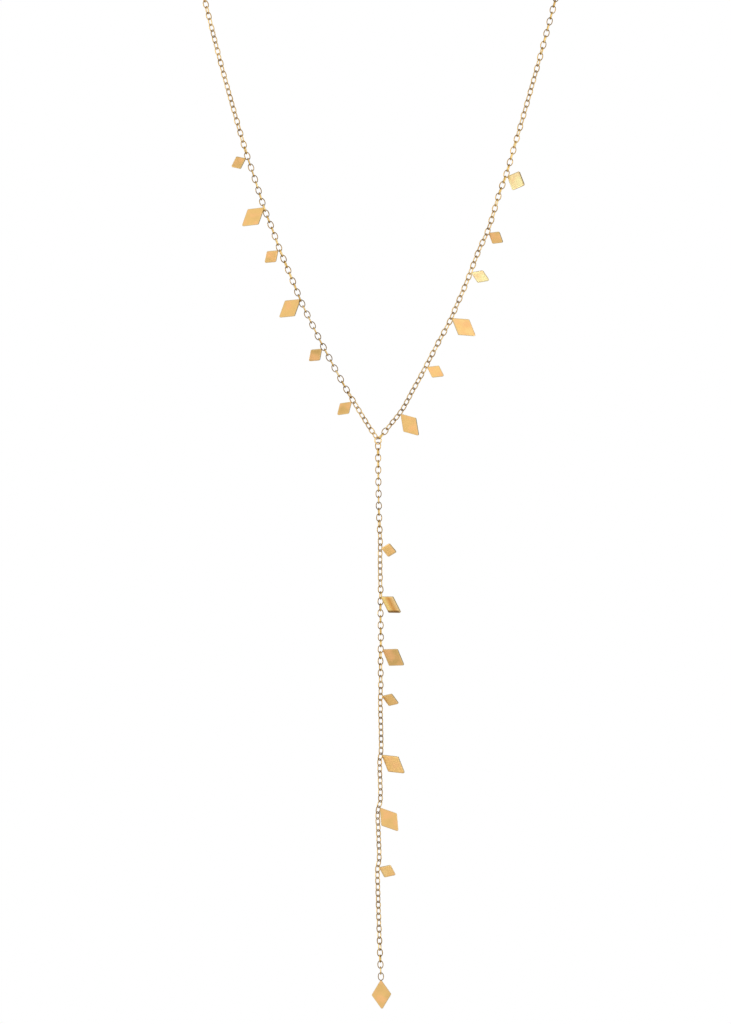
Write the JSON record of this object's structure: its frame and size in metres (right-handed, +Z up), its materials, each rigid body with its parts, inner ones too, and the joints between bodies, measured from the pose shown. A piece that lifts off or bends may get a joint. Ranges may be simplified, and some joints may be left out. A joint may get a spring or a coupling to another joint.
{
  "type": "y necklace",
  "caption": "Fine gold-tone cable-chain lariat that meets at a small ring, with flat rhombus plates soldered along both arms and the stem and a plate that swings at its end.",
  "frame": {"origin": "at the nape of the neck, in the middle of the clasp's neck side", "axes": "+Z up along the hanging stem, -Y is the front of the necklace, +X to the right when it is seen from the front"},
  "size_m": [0.1052, 0.0687, 0.2909],
  "materials": {
    "chain": "polished gold-tone wire",
    "plates": "satin-brushed gold-tone sheet with polished edges"
  },
  "bodies": {
    "necklace": {"neck_chain_left": "chain", "neck_chain_right": "chain", "front_chain_left": "chain", "front_chain_right": "chain", "stem_chain": "chain", "clasp": "chain", "y_ring": "chain", "left_plate_1": "plates", "left_plate_2": "plates", "left_plate_3": "plates", "left_plate_4": "plates", "left_plate_5": "plates", "left_plate_6": "plates", "right_plate_1": "plates", "right_plate_2": "plates", "right_plate_3": "plates", "right_plate_4": "plates", "right_plate_5": "plates", "right_plate_6": "plates", "stem_plate_1": "plates", "stem_plate_2": "plates", "stem_plate_3": "plates", "stem_plate_4": "plates", "stem_plate_5": "plates", "stem_plate_6": "plates", "stem_plate_7": "plates"},
    "end_drop": {"end_drop": "plates"}
  },
  "joints": [
    {"name": "end_drop_swing", "type": "hinge", "parent": "necklace", "child": "end_drop", "pos_m": [0.0002, -0.062, -0.27946], "axis": [0, 1, 0], "range_deg": [-45, 45]}
  ]
}
